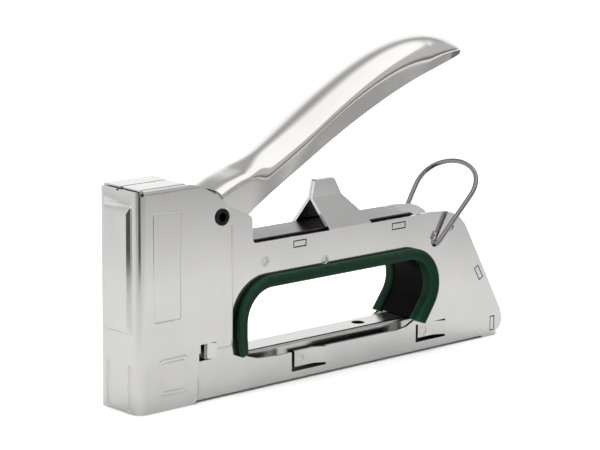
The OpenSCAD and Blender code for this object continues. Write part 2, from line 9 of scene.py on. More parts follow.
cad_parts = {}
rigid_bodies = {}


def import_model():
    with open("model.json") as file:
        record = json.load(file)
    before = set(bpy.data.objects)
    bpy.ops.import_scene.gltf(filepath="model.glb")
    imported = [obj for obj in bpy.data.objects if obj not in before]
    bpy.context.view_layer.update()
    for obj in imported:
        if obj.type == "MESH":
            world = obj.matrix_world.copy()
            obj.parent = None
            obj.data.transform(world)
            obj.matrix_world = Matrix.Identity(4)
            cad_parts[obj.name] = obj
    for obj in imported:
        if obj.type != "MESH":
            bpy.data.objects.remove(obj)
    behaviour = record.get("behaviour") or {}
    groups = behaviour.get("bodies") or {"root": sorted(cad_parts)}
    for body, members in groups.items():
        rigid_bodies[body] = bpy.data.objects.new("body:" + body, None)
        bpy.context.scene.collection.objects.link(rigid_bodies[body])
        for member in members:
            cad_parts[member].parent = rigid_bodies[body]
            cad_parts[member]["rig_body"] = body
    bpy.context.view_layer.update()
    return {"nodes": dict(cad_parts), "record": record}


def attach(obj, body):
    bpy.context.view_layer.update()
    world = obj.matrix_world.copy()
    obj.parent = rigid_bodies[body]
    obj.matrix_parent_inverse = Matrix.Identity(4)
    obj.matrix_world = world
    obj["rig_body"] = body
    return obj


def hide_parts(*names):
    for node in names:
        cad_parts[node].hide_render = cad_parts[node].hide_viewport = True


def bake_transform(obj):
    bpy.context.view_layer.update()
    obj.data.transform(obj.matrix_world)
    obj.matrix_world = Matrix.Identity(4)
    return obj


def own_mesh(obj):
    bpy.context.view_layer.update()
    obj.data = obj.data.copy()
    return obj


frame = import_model()

MM = 0.001
NOSE_SETBACK = 14.0  # mm from the front face back to the origin
SIDES = (("left", -1), ("right", 1))


def at(x, y, z):
    """A point in metres from mm measured behind the front face, across, and above the working face."""
    return Vector(((x - NOSE_SETBACK) * MM, y * MM, z * MM))


def linked(name, data):
    """A new object in the scene."""
    thing = bpy.data.objects.new(name, data)
    bpy.context.scene.collection.objects.link(thing)
    return thing


# ---- camera and lights ----

CAMERA_PLACE = (-0.51369, -0.65288, 0.23712)
CAMERA_AZIMUTH = -41.958
CAMERA_ELEVATION = 11.597
CAMERA_ROLL = 0.477
CAMERA_LENS = 141.13


def add_camera():
    a, e, r = (math.radians(v) for v in (CAMERA_AZIMUTH, CAMERA_ELEVATION, CAMERA_ROLL))
    back = Vector((math.sin(a) * math.cos(e), -math.cos(a) * math.cos(e), math.sin(e)))
    level = Vector((math.cos(a), math.sin(a), 0))
    upright = back.cross(level)
    right = level * math.cos(r) + upright * math.sin(r)
    up = upright * math.cos(r) - level * math.sin(r)
    data = bpy.data.cameras.new("camera")
    data.lens = CAMERA_LENS
    data.sensor_width = 36.0
    data.clip_start = 0.05
    data.clip_end = 50.0
    camera = linked("camera", data)
    camera.matrix_world = Matrix((
        (right.x, up.x, back.x, CAMERA_PLACE[0]),
        (right.y, up.y, back.y, CAMERA_PLACE[1]),
        (right.z, up.z, back.z, CAMERA_PLACE[2]),
        (0, 0, 0, 1)))
    bpy.context.scene.camera = camera


def add_softbox(name, place, target, size, power, colour):
    """A soft light that reflections don't show."""
    data = bpy.data.lights.new(name, "AREA")
    data.shape = "RECTANGLE"
    data.size, data.size_y = size
    data.energy = power
    data.color = colour
    light = linked(name, data)
    light.location = place
    aim = Vector(target) - Vector(place)
    light.rotation_euler = aim.to_track_quat("-Z", "Y").to_euler()
    light.visible_glossy = False


# ---- node helpers ----

class Nodes:
    """Builds a node tree by short calls."""

    def __init__(self, tree):
        self.tree = tree
        tree.nodes.clear()

    def add(self, kind, inputs=None, **settings):
        node = self.tree.nodes.new(kind)
        for key, value in settings.items():
            setattr(node, key, value)
        for key, value in (inputs or {}).items():
            socket = node.inputs[key]
            if isinstance(value, bpy.types.NodeSocket):
                self.tree.links.new(value, socket)
            else:
                socket.default_value = value
        return node

    def math(self, operation, a, b=0.0, clamp=False):
        return self.add("ShaderNodeMath", {0: a, 1: b}, operation=operation, use_clamp=clamp).outputs[0]

    def remap(self, value, low, high, to_low=0.0, to_high=1.0):
        return self.add("ShaderNodeMapRange", {
            "Value": value, "From Min": low, "From Max": high,
            "To Min": to_low, "To Max": to_high}).outputs[0]

    def mix(self, factor, a, b):
        node = self.add("ShaderNodeMix", data_type="RGBA")
        for socket, value in ((node.inputs[0], factor), (node.inputs[6], a), (node.inputs[7], b)):
            if isinstance(value, bpy.types.NodeSocket):
                self.tree.links.new(value, socket)
            else:
                socket.default_value = value
        return node.outputs[2]

    def place(self, scale, turn=(0, 0, 0)):
        where = self.add("ShaderNodeTexCoord").outputs["Object"]
        return self.add("ShaderNodeMapping", {
            "Vector": where, "Scale": scale, "Rotation": turn}).outputs[0]

    def noise(self, scale, detail=3.0, roughness=0.5, turn=(0, 0, 0)):
        """Noise of scale grains per metre along each axis."""
        return self.add("ShaderNodeTexNoise", {
            "Vector": self.place(scale, turn), "Scale": 1.0, "Detail": detail,
            "Roughness": roughness}).outputs[0]


def rgba(colour):
    return (*colour, 1.0)


def new_material(name):
    material = bpy.data.materials.new(name)
    material.use_nodes = True
    return material, Nodes(material.node_tree)


def surface(n, base, rough, height, depth, strength=1.0):
    """Ends a material with a shader of this colour, roughness and relief, and returns the shader."""
    bump = n.add("ShaderNodeBump", {"Height": height, "Distance": depth, "Strength": strength})
    shader = n.add("ShaderNodeBsdfPrincipled", {
        "Base Color": base, "Roughness": rough, "Normal": bump.outputs[0]})
    n.add("ShaderNodeOutputMaterial", {"Surface": shader.outputs[0]})
    return shader


def raised_edges(n, low, high):
    """From 0 on flats and in hollows to 1 on sharp outward edges."""
    return n.remap(n.add("ShaderNodeNewGeometry").outputs["Pointiness"], low, high)


SCRATCH_WIDTH = 0.006  # how far the noise strays from its middle value across a mark
SCRATCH_ROUGHNESS = 0.06
SCRATCH_DEPTH = 0.3  # as a share of the grain's depth


def scratches(nodes, scale, turn):
    """Thin long marks: where a stretched noise crosses its middle value."""
    field = nodes.noise(scale, detail=1.0, turn=turn)
    off = nodes.math("ABSOLUTE", nodes.math("SUBTRACT", field, 0.5))
    line = nodes.remap(off, 0.0, SCRATCH_WIDTH, 1.0, 0.0)
    breaks = nodes.remap(nodes.noise((180, 180, 180), detail=2.0), 0.52, 0.62)
    return nodes.math("MULTIPLY", line, breaks)


def metal(name, colour, roughness, grain=(60, 60, 60), grain_depth=0.00001, spread=0.06,
          tint=0.04, wear=0.0, worn=(0.9, 0.9, 0.88)):
    """Plated or bare metal: grain, cloudy roughness, hairline scratches and worn edges."""
    material, n = new_material(name)
    cloud = n.noise((45, 45, 45), detail=4.0)
    fine = n.noise(grain, detail=3.0, roughness=0.6)
    marks = n.math("ADD", scratches(n, (60, 900, 420), (0.3, 0.5, 0.2)),
                   scratches(n, (800, 500, 70), (0.1, 0.9, 1.2)), clamp=True)
    dark = rgba([c * (1 - tint) for c in colour])
    light = rgba([min(1.0, c * (1 + tint)) for c in colour])
    base = n.mix(n.remap(cloud, 0.3, 0.7), dark, light)
    rough = n.math("ADD", n.remap(cloud, 0.3, 0.7, roughness - spread / 2, roughness + spread / 2),
                   n.remap(fine, 0.3, 0.7, -spread / 2, spread / 2))
    rough = n.math("ADD", rough, n.math("MULTIPLY", marks, SCRATCH_ROUGHNESS), clamp=True)
    if wear:
        patchy = n.math("MULTIPLY", raised_edges(n, 0.52, 0.60), n.remap(n.noise((300, 300, 300)), 0.35, 0.6))
        base = n.mix(n.math("MULTIPLY", patchy, wear), base, rgba(worn))
    height = n.math("SUBTRACT", fine, n.math("MULTIPLY", marks, SCRATCH_DEPTH))
    surface(n, base, rough, height, grain_depth).inputs["Metallic"].default_value = 1.0
    return material


LEATHER_GRAIN = (2500, 2500, 2500)
LEATHER_DEPTH = 0.00003


def plastic(name, colour, roughness, rubbed, gloss=0.25):
    """Moulded plastic or rubber: fine leathery texture, cloudy gloss and rubbed edges."""
    material, n = new_material(name)
    cloud = n.noise((60, 60, 60), detail=4.0)
    fine = n.noise(LEATHER_GRAIN, detail=2.0, roughness=0.6)
    base = n.mix(n.remap(cloud, 0.3, 0.7), rgba([c * 0.85 for c in colour]),
                 rgba([c * 1.15 for c in colour]))
    patchy = n.math("MULTIPLY", raised_edges(n, 0.51, 0.58),
                    n.remap(n.noise((400, 400, 400)), 0.3, 0.7, 0.3, 0.8))
    base = n.mix(patchy, base, rgba(rubbed))
    rough = n.math("ADD", n.remap(cloud, 0.3, 0.7, roughness - 0.05, roughness + 0.05),
                   n.remap(fine, 0.3, 0.7, -0.06, 0.06), clamp=True)
    surface(n, base, rough, fine, LEATHER_DEPTH).inputs["Specular IOR Level"].default_value = gloss
    return material


def make_materials():
    return {
        "cover_plating": metal("cover_plating", (0.70, 0.695, 0.68), 0.10, spread=0.03,
                               grain_depth=0.000003),
        "plate_plating": metal("plate_plating", (0.69, 0.685, 0.67), 0.10, spread=0.03,
                               grain_depth=0.000003),
        "lever_plating": metal("lever_plating", (0.80, 0.79, 0.765), 0.13, spread=0.04,
                               grain_depth=0.000002),
        "grip_plastic": plastic("grip_plastic", (0.0015, 0.021, 0.009), 0.34,
                                rubbed=(0.02, 0.075, 0.04), gloss=0.1),
        "black_oxide": metal("black_oxide", (0.02, 0.02, 0.022), 0.26, wear=0.35, worn=(0.15, 0.15, 0.15)),
        "sleeve_brass": metal("sleeve_brass", (0.70, 0.52, 0.25), 0.28),
        "pin_steel": metal("pin_steel", (0.66, 0.655, 0.64), 0.25),
        "bracket_steel": metal("bracket_steel", (0.72, 0.715, 0.70), 0.24),
        "hardened_steel": metal("hardened_steel", (0.40, 0.41, 0.43), 0.30),
        "bumper_rubber": plastic("bumper_rubber", (0.02, 0.02, 0.02), 0.7, rubbed=(0.05, 0.05, 0.05)),
        "spring_steel": metal("spring_steel", (0.13, 0.12, 0.13), 0.24, grain=(40, 900, 40)),
        "spring_wire": metal("spring_wire", (0.55, 0.55, 0.55), 0.3),
        "magazine_steel": metal("magazine_steel", (0.62, 0.615, 0.605), 0.2, grain=(30, 1500, 1500)),
        "cap_plastic": plastic("cap_plastic", (0.0012, 0.0012, 0.0014), 0.4,
                               rubbed=(0.01, 0.01, 0.01), gloss=0.05),
        "loop_wire": metal("loop_wire", (0.27, 0.265, 0.27), 0.16, grain=(300, 300, 300)),
    }


MATERIALS = make_materials()


def paint_cad_nodes():
    slots = {part["node"]: part["material_slot"] for part in frame["record"]["subparts"]}
    for name, thing in frame["nodes"].items():
        thing.data.materials.clear()
        thing.data.materials.append(MATERIALS[slots[name]])
    return slots


SLOTS = paint_cad_nodes()

add_camera()


# ---- mesh helpers ----

WELD = 1e-6
FLAT = math.radians(0.6)


def new_object(name, bm, slot, sharp=35):
    """Makes an object of bm, smooth except at edges that turn by more than sharp degrees."""
    bmesh.ops.recalc_face_normals(bm, faces=bm.faces)
    limit = math.radians(sharp)
    for face in bm.faces:
        face.smooth = True
    for edge in bm.edges:
        edge.smooth = edge.calc_face_angle(0.0) < limit
    mesh = bpy.data.meshes.new(name)
    bm.to_mesh(mesh)
    bm.free()
    mesh.materials.append(MATERIALS[slot])
    thing = linked(name, mesh)
    return thing


def soften(thing, width, segments=3, angle=40, weighted=True):
    """Rounds the edges of thing that turn by more than angle degrees; width in mm."""
    bevel = thing.modifiers.new("edges", "BEVEL")
    bevel.width = width * MM
    bevel.segments = segments
    bevel.limit_method = "ANGLE"
    bevel.angle_limit = math.radians(angle)
    bevel.miter_outer = "MITER_ARC"
    bevel.harden_normals = False
    if weighted:
        normals = thing.modifiers.new("normals", "WEIGHTED_NORMAL")
        normals.keep_sharp = False
        normals.weight = 90


def stands_for(piece, node, body):
    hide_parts(node)
    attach(piece, body)


def reworked(node, width):
    """A piece that stands for a CAD node, with its edges rounded by width mm."""
    bm = bmesh.new()
    bm.from_mesh(frame["nodes"][node].data)
    for layer in list(bm.loops.layers.float_vector.keys()):
        bm.loops.layers.float_vector.remove(bm.loops.layers.float_vector[layer])
    bmesh.ops.remove_doubles(bm, verts=bm.verts, dist=WELD)
    if node not in PUNCHED:
        bmesh.ops.dissolve_limit(bm, angle_limit=FLAT, verts=bm.verts, edges=bm.edges)
    thing = new_object(node + "_detail", bm, SLOTS[node])
    custom = thing.data.attributes.get("custom_normal")
    if custom:
        thing.data.attributes.remove(custom)
    soften(thing, width)
    stands_for(thing, node, frame["nodes"][node]["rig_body"])


def loft(bm, rings, capped=True):
    """Joins rings of points by quads, each ring closed on itself."""
    rows = [[bm.verts.new(p) for p in ring] for ring in rings]
    count = len(rows[0])
    for low, high in zip(rows, rows[1:]):
        for i in range(count):
            j = (i + 1) % count
            bm.faces.new((low[i], low[j], high[j], high[i]))
    if capped:
        bm.faces.new(rows[0])
        bm.faces.new(list(reversed(rows[-1])))


def tube(bm, path, radius, sides=12, closed=False):
    """A round tube along path, turned as little as possible from point to point."""
    count = len(path)
    rings = []
    normal = None
    for i, p in enumerate(path):
        before = path[(i - 1) % count] if closed or i else path[0]
        after = path[(i + 1) % count] if closed or i < count - 1 else path[-1]
        heading = (after - before).normalized()
        if normal is None:
            normal = heading.orthogonal().normalized()
        normal = (normal - heading * normal.dot(heading)).normalized()
        side = heading.cross(normal)
        rings.append([p + (normal * math.cos(a) + side * math.sin(a)) * radius
                      for a in (2 * math.pi * k / sides for k in range(sides))])
    if closed:
        rings.append(rings[0])
    loft(bm, rings, capped=not closed)
    if closed:
        bmesh.ops.remove_doubles(bm, verts=bm.verts, dist=WELD)


def cubic(points, t):
    """The point at t on a cubic curve with four control points."""
    weights = ((1 - t) ** 3, 3 * t * (1 - t) ** 2, 3 * t * t * (1 - t), t ** 3)
    return tuple(sum(w * p[k] for w, p in zip(weights, points)) for k in range(2))


def arc_points(centre, radius, start, end, count):
    """Points on an arc in a plane, angles in degrees."""
    angles = [math.radians(start + (end - start) * i / count) for i in range(count + 1)]
    return [(centre[0] + radius * math.cos(a), centre[1] + radius * math.sin(a)) for a in angles]


def resampled(points, count):
    """count + 1 points spaced evenly along a polyline."""
    lengths = [0.0]
    for a, b in zip(points, points[1:]):
        lengths.append(lengths[-1] + math.dist(a, b))
    out = []
    i = 0
    for k in range(count + 1):
        want = lengths[-1] * k / count
        while i < len(points) - 2 and lengths[i + 1] < want:
            i += 1
        span = lengths[i + 1] - lengths[i]
        f = min(1.0, max(0.0, (want - lengths[i]) / span)) if span else 0.0
        out.append(tuple(a + (b - a) * f for a, b in zip(points[i], points[i + 1])))
    return out


def smooth_step(x):
    x = min(1.0, max(0.0, x))
    return x * x * (3 - 2 * x)


# ---- squeeze lever ----

RIM = ((52, 65.5), (76, 83), (133, 115.3), (170.2, 117.2))
CROWN = ((54, 82.0), (96, 101), (140, 142.5), (170.6, 117.6))
NECK_RIM = ((44.4, 61.3), (47.5, 62.8), (50.2, 64.6))
NECK_CROWN = ((40.4, 76.9), (45.0, 79.2), (50.0, 81.0))
LEVER_SHEET = 1.2
NECK_HALF = 9.2
PALM_HALF = 11.0
PALM_FROM = 0.78
NECK_SECTION = (0.5, 0.5, 3.2)  # how square the roof is, across and upwards (1 is round), and its height
PALM_SECTION = (0.92, 0.82, 10.5)
ROOF_SHARE = 0.7  # the most of a section's height that its roof takes
FLARE_FROM = 0.03
FLARE_LENGTH = 0.3
PALM_BLEND = 0.1
TIP_T = 0.999
LEVER_RINGS = 110
ARCH_POINTS = 56
ARCH_SAMPLES = 400


def lever_half(t):
    """Half the lever's width at t, from 0 at the neck to 1 at the tip."""
    full = NECK_HALF + (PALM_HALF - NECK_HALF) * smooth_step((t - FLARE_FROM) / FLARE_LENGTH)
    if t < PALM_FROM:
        return full
    return full * math.sqrt(max(0.0, 1 - ((t - PALM_FROM) / (1 - PALM_FROM)) ** 2))


def arch(rim, crown, half, square, inset):
    """Points across the lever from its -Y foot over the crown to its +Y foot."""
    tall = math.dist(rim, crown)
    up = ((crown[0] - rim[0]) / tall, (crown[1] - rim[1]) / tall)
    wide = max(0.2, half - inset)
    high = max(0.2, tall - inset)
    roof = min(square[2], ROOF_SHARE * high)
    dense = [(-wide, 0.0)]
    for i in range(ARCH_SAMPLES + 1):
        a = math.pi * (1 - i / ARCH_SAMPLES)
        c, s = math.cos(a), max(0.0, math.sin(a))
        dense.append((wide * math.copysign(abs(c) ** square[0], c), high - roof + roof * s ** square[1]))
    dense.append((wide, 0.0))
    return [at(rim[0] + up[0] * h, y, rim[1] + up[1] * h) for y, h in resampled(dense, ARCH_POINTS)]


def lever_sections():
    """(rim, crown, half width, squareness) from the neck to the tip."""
    out = [(r, c, NECK_HALF, NECK_SECTION) for r, c in zip(NECK_RIM, NECK_CROWN)]
    for i in range(LEVER_RINGS + 1):
        t = TIP_T * math.sin(math.pi / 2 * i / LEVER_RINGS)
        palm = smooth_step(t / PALM_BLEND)
        square = [a + (b - a) * palm for a, b in zip(NECK_SECTION, PALM_SECTION)]
        out.append((cubic(RIM, t), cubic(CROWN, t), lever_half(t), square))
    return out


def make_lever_shell():
    bm = bmesh.new()
    rings = []
    for rim, crown, half, square in lever_sections():
        outer = arch(rim, crown, half, square, 0.0)
        inner = arch(rim, crown, half, square, LEVER_SHEET)
        rings.append(outer + list(reversed(inner)))
    loft(bm, rings)
    shell = new_object("lever_shell", bm, "lever_plating")
    soften(shell, 0.45, weighted=False)
    stands_for(shell, "squeeze_lever", "lever")


HOLE_SIDES = 40


def plate_piece(name, slot, outline, holes, y0, y1):
    """A flat plate from y0 to y1, outline in X and Z, with round holes of (centre, radius)."""
    bm = bmesh.new()
    loops = [outline] + [arc_points(c, r, 0, 360 - 360 / HOLE_SIDES, HOLE_SIDES - 1) for c, r in holes]
    for loop in loops:
        verts = [bm.verts.new(at(x, y0, z)) for x, z in loop]
        for a, b in zip(verts, verts[1:] + verts[:1]):
            bm.edges.new((a, b))
    filled = bmesh.ops.triangle_fill(bm, edges=bm.edges[:], use_beauty=True)
    faces = [f for f in filled["geom"] if isinstance(f, bmesh.types.BMFace)]
    grown = bmesh.ops.extrude_face_region(bm, geom=faces)
    moved = [v for v in grown["geom"] if isinstance(v, bmesh.types.BMVert)]
    bmesh.ops.translate(bm, verts=moved, vec=(0, (y1 - y0) * MM, 0))
    bmesh.ops.dissolve_limit(bm, angle_limit=FLAT, verts=bm.verts, edges=bm.edges)
    return new_object(name, bm, slot)


PIVOT = (38.7, 68.1)
ARM_PIN = (31.5, 65.0)
CHEEK = (arc_points(PIVOT, 8.6, 215, 300, 12) + [(46.4, 63.0), (44.4, 74.6), (39.9, 72.6)]
         + arc_points(ARM_PIN, 4.2, 115, 230, 8))


CHEEK_HOLES = ((PIVOT, 3.05), (ARM_PIN, 1.5))
CHEEK_T = 1.16
CHEEK_INSET = 0.02


def make_lever_cheeks():
    for side_name, low in (("left", CHEEK_INSET - NECK_HALF), ("right", NECK_HALF - CHEEK_INSET - CHEEK_T)):
        cheek = plate_piece("lever_cheek_" + side_name, "lever_plating", CHEEK, CHEEK_HOLES,
                            low, low + CHEEK_T)
        soften(cheek, 0.15, 2)
        stands_for(cheek, "squeeze_lever", "lever")


# ---- grip trim ----

GRIP_FRONT = (62.8, 26.4)
GRIP_REAR = (134.3, 27.6)
GRIP_FRONT_R = 16.8
GRIP_REAR_R = 15.6
GRIP_FOOT = (  # mm behind the front, height, and how far each moves per mm inwards
    (1.3, 14.2, 0.8, 0.2), (0.6, 18.0, 0.9, 0.1), (0.0, 22.0, 1.0, 0.0))
GRIP_TIP = (142.5, 11.9)
GRIP_TIP_RISE = 0.45  # per mm inwards
WEB_FOOT = 14.1
RIM_PROFILE = (  # mm inwards from the outer edge, and out from the middle plane
    (0.4, 10.8), (0.4, 11.95), (0.0, 11.95), (0.0, 13.1), (0.15, 13.5), (0.5, 13.78), (0.9, 13.83),
    (1.3, 13.72), (1.7, 13.5), (2.6, 13.42), (3.5, 13.3), (4.15, 13.0), (4.55, 12.45), (4.7, 11.6),
    (4.7, 9.3), (4.55, 8.75), (4.1, 8.5), (2.6, 8.5), (2.6, 10.8))
# The wall under the rim and the web inside the opening are made near black, much darker than the green rim.
WALL_PROFILE = ((0.0, 10.77), (0.0, 11.92), (0.4, 11.92), (0.4, 10.77))
WEB_PROFILE = (
    (2.5, -9.5), (4.08, -9.3), (4.08, -8.4), (3.9, -7.9), (3.9, 7.9), (4.08, 8.4), (4.08, 9.3), (2.5, 9.5))


def grip_line(d, lowest=0.0):
    """The horseshoe of the hand opening, d inside the trim's outer edge, its heel cut off at lowest."""
    front = GRIP_FRONT[0] - GRIP_FRONT_R
    foot = [(front + x + d * dx, z + d * dz) for x, z, dx, dz in GRIP_FOOT]
    tip = (GRIP_TIP[0] - d, GRIP_TIP[1] + d * GRIP_TIP_RISE)
    rear = arc_points(GRIP_REAR, GRIP_REAR_R - d, 90, -35, 30)
    reach = min(1.0, (rear[-1][1] - lowest) / (rear[-1][1] - tip[1]))
    heel = [tuple(a + (b - a) * reach * k / 3 for a, b in zip(rear[-1], tip)) for k in (1, 2, 3)]
    front_arc = arc_points(GRIP_FRONT, GRIP_FRONT_R - d, 180, 90, 24)
    return foot + front_arc + rear + heel


def swept_trim(name, slot, profile, side, lowest=0.0):
    """A moulding with one profile all round the hand opening."""
    bm = bmesh.new()
    lines = [[at(x, y * side, z) for x, z in grip_line(d, lowest)] for d, y in profile]
    loft(bm, [list(ring) for ring in zip(*lines)])
    trim = new_object(name, bm, slot, sharp=50)
    soften(trim, 0.12, 2, angle=60)
    stands_for(trim, "grip_trim", "frame")


def make_grip_trim():
    for side_name, side in SIDES:
        swept_trim("trim_rim_" + side_name, "grip_plastic", RIM_PROFILE, side)
        swept_trim("trim_wall_" + side_name, "cap_plastic", WALL_PROFILE, side)
    swept_trim("trim_web", "cap_plastic", WEB_PROFILE, 1, lowest=WEB_FOOT)


# ---- lock loop ----

LOOP_HOLE = (149.3, 42.7)
LOOP_LEAN = 39
LOOP_SPREAD = 8.2
BOW_SIDE = (25.6, 4.2)
BOW_SIDE_R = 11.3
BOW_TOP_U = 18.13
KNEE_R = 2.0
WIRE_R = 1.0
HOOK_END = 8.75


def half_loop():
    """The flat loop from its hook to its apex: (along the legs, across)."""
    reach = (BOW_SIDE[0] - BOW_TOP_U, BOW_SIDE[1])
    meet = math.degrees(math.atan2(reach[1], reach[0]))
    leave = 90 + LOOP_SPREAD
    spread = math.radians(LOOP_SPREAD)
    top = (BOW_SIDE[0] + BOW_SIDE_R * math.cos(math.radians(leave)),
           BOW_SIDE[1] + BOW_SIDE_R * math.sin(math.radians(leave)))
    foot = (KNEE_R, top[1] - (top[0] - KNEE_R) * math.tan(spread))
    knee = (foot[0] + KNEE_R * math.sin(spread), foot[1] - KNEE_R * math.cos(spread))
    hook_u = knee[0] - KNEE_R
    leg = [(foot[0] + (top[0] - foot[0]) * k / 8, foot[1] + (top[1] - foot[1]) * k / 8) for k in range(1, 8)]
    line = [(hook_u, HOOK_END), (hook_u, (HOOK_END + knee[1]) / 2)]
    line += arc_points(knee, KNEE_R, 180, leave, 8)
    line += leg
    line += arc_points(BOW_SIDE, BOW_SIDE_R, leave, meet, 20)
    line += arc_points((BOW_TOP_U, 0), math.hypot(*reach) + BOW_SIDE_R, meet, 0, 12)[1:]
    return [(u - hook_u, v) for u, v in line]


def make_lock_loop():
    half = half_loop()
    flat = half + [(u, -v) for u, v in reversed(half[:-1])]
    lean = math.radians(LOOP_LEAN)
    path = [at(LOOP_HOLE[0] + u * math.sin(lean), v, LOOP_HOLE[1] + u * math.cos(lean)) for u, v in flat]
    bm = bmesh.new()
    tube(bm, path, WIRE_R * MM, sides=24)
    loop = new_object("lock_loop_wire", bm, "loop_wire")
    soften(loop, 0.2, 2, angle=60, weighted=False)
    stands_for(loop, "lock_loop", "lock_loop")


# ---- springs ----

SPRING_Z = 53.9
LEAF_T = 1.4
LEAF_HALF = 8.0
LEAF_TAPER = 10.0
UPPER_TIP_X = 1.6
UPPER_END_X = 137.6
UPPER_STEPS = 72
CURL_R = 1.8
LOWER_TIP_X = 30.0
LOWER_LENGTH = 105.0
LOWER_STEPS = 56


def leaf_half(x, taper_from, tip_half):
    """Half a leaf's width at x: it widens from tip_half over LEAF_TAPER."""
    return tip_half + (LEAF_HALF - tip_half) * min(1.0, max(0.0, (x - taper_from) / LEAF_TAPER))


def leaf_piece(name, node, line, half_at):
    """A leaf of spring that follows line, the middle of its underside, in X and Z."""
    bm = bmesh.new()
    rings = []
    for i, (x, z) in enumerate(line):
        before, after = line[max(0, i - 1)], line[min(len(line) - 1, i + 1)]
        run = (after[0] - before[0], after[1] - before[1])
        size = math.hypot(*run)
        up = (-run[1] / size * LEAF_T, run[0] / size * LEAF_T)
        half = half_at(x)
        rings.append([at(x, -half, z), at(x, half, z),
                      at(x + up[0], half, z + up[1]), at(x + up[0], -half, z + up[1])])
    loft(bm, rings)
    leaf = new_object(name, bm, "spring_steel", sharp=40)
    soften(leaf, 0.18, 2)
    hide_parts(node)
    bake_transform(leaf)


def make_leaf_springs():
    low = SPRING_Z + LEAF_T
    upper = [(UPPER_TIP_X + (UPPER_END_X - UPPER_TIP_X) * i / UPPER_STEPS, low)
             for i in range(UPPER_STEPS + 1)]
    curl = arc_points((UPPER_END_X, low - CURL_R), CURL_R, 90, -20, 10)[1:]
    leaf_piece("main_leaf_upper", "main_spring_upper", upper + curl, lambda x: leaf_half(x, 10, 3.0))
    lower = [(LOWER_TIP_X + LOWER_LENGTH * i / LOWER_STEPS, SPRING_Z) for i in range(LOWER_STEPS + 1)]
    leaf_piece("main_leaf_lower", "main_spring_lower", lower, lambda x: leaf_half(x, 34, 5.5))


COIL_STEPS = 14
COILS = {  # node, joint, ends, height, radius, turns, wire radius, where it is held, share left at the limit
    "pusher_coil": ("pusher_spring", "pusher_slide", (16.6, 184.8), 7.2, 1.9, 74, 0.28, 184.9, 0.345),
    "latch_coil": ("latch_spring", "latch_press", (185.95, 187.55), 11.1, 0.95, 4, 0.15, 185.9, 0.22)}


def coil(ends, z, radius, turns):
    """Points of a helix along X."""
    count = turns * COIL_STEPS
    return [at(ends[0] + (ends[1] - ends[0]) * i / count, radius * math.cos(2 * math.pi * i / COIL_STEPS),
               z + radius * math.sin(2 * math.pi * i / COIL_STEPS)) for i in range(count + 1)]


def make_coil_springs():
    for name, (node, joint, ends, z, radius, turns, wire, held, keep) in COILS.items():
        bm = bmesh.new()
        tube(bm, coil(ends, z, radius, turns), wire * MM, sides=6)
        spring = new_object(name, bm, "spring_wire", sharp=80)
        stands_for(spring, node, "magazine_drawer")
        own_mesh(spring)


RETURN_R = 5.0
RETURN_WIRE_R = 0.6
RETURN_HALF = 1.6
RETURN_TURNS = 3
RETURN_STEPS = 28
RETURN_START = 105  # degrees round the pivot
FRONT_LEG = ((25.4, 75.3), (28.8, 75.0), (32.0, 74.4))
REAR_LEG = ((42.2, 74.0), (46.0, 76.4), (49.6, 78.5))


def make_return_spring():
    count = RETURN_TURNS * RETURN_STEPS
    path = [at(x, RETURN_HALF, z) for x, z in FRONT_LEG]
    for i in range(count + 1):
        a = math.radians(RETURN_START) - 2 * math.pi * i / RETURN_STEPS
        path.append(at(PIVOT[0] + RETURN_R * math.cos(a), RETURN_HALF * (1 - 2 * i / count),
                       PIVOT[1] + RETURN_R * math.sin(a)))
    path += [at(x, -RETURN_HALF, z) for x, z in REAR_LEG]
    bm = bmesh.new()
    tube(bm, path, RETURN_WIRE_R * MM, sides=10)
    spring = new_object("return_coil", bm, "spring_steel", sharp=80)
    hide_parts("return_spring")
    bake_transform(spring)


# ---- embossing on the nose cover ----

HALF_W = 11.75
BEAD_R = 0.42
BEAD_SUNK = 0.26
MARK_X = -0.77
CREASE_X = 0.18
COVER_FRAMES = (  # low and high X, low and high Z, and corner radius
    (7.2, 19.4, 33.2, 73.0, 0.8), (9.8, 22.0, 5.8, 19.2, 0.8), (11.2, 20.6, 7.2, 17.8, 0.5))
FRONT_CREASES = (  # low and high Y, low and high Z, and corner radius
    (-7.9, 7.9, 29.1, 76.3, 1.2), (5.5, 7.1, 0.5, 17.8, 0.7), (-7.1, -5.5, 0.5, 17.8, 0.7))
COVER_HEMS = ([(43.6, 64.5), (43.6, 21.2)] + arc_points((41.5, 21.2), 2.1, 0, -90, 6) + [(36.8, 19.1)],
              [(27.6, 15.0), (27.6, 2.8), (25.6, 0.8)])
FRONT_MARK = ((-0.6, 55.0), (2.6, 55.0), (2.6, 63.5), (0.9, 70.0), (-0.6, 63.5))


def round_frame(x0, x1, z0, z1, r):
    """A closed path round a rectangle with rounded corners."""
    out = []
    for (cx, cz), start in (((x1 - r, z1 - r), 0), ((x0 + r, z1 - r), 90),
                            ((x0 + r, z0 + r), 180), ((x1 - r, z0 + r), 270)):
        out += arc_points((cx, cz), r, start, start + 90, 5)
    return out


def emboss(name, paths, place, closed=True):
    """Low rounded beads along paths; place turns a path point into a point in the sheet's face."""
    bm = bmesh.new()
    for path in paths:
        tube(bm, [place(a, b) for a, b in path], BEAD_R * MM, sides=10, closed=closed)
    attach(new_object(name, bm, "cover_plating", sharp=80), "frame")


def on_side(side):
    return lambda x, z: at(x, side * (HALF_W - BEAD_SUNK), z)


def on_front(x):
    return lambda y, z: at(x, y, z)


def make_cover_embossing():
    frames = [round_frame(*sizes) for sizes in COVER_FRAMES]
    for side_name, side in SIDES:
        emboss(side_name + "_embossing", frames, on_side(side))
    for side_name, side in SIDES:
        emboss(side_name + "_hem", COVER_HEMS, on_side(side), closed=False)
    emboss("front_embossing", [FRONT_MARK], on_front(MARK_X))
    emboss("front_creases", [round_frame(*sizes) for sizes in FRONT_CREASES], on_front(CREASE_X))


# ---- the pieces ----

